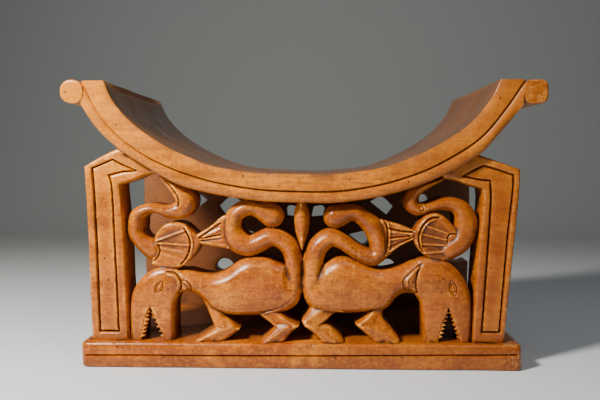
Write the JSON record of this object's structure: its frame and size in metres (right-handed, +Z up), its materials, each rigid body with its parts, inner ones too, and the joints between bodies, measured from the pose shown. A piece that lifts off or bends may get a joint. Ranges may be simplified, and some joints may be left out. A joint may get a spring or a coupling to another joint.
{
  "type": "prestige stool",
  "caption": "Wooden stool carved from one block: a curved seat with rolled ends, a flat base and two openwork panels of beasts, long-necked birds and moulded posts.",
  "frame": {"origin": "on the base's underside, below the middle of the whole stool from roll to roll", "axes": "+Z up, +X to the right along the length, the carved front towards -Y"},
  "size_m": [0.5486, 0.27, 0.3308],
  "materials": {
    "wood": "satin"
  },
  "bodies": {
    "root": {"stool": "wood"}
  },
  "joints": []
}
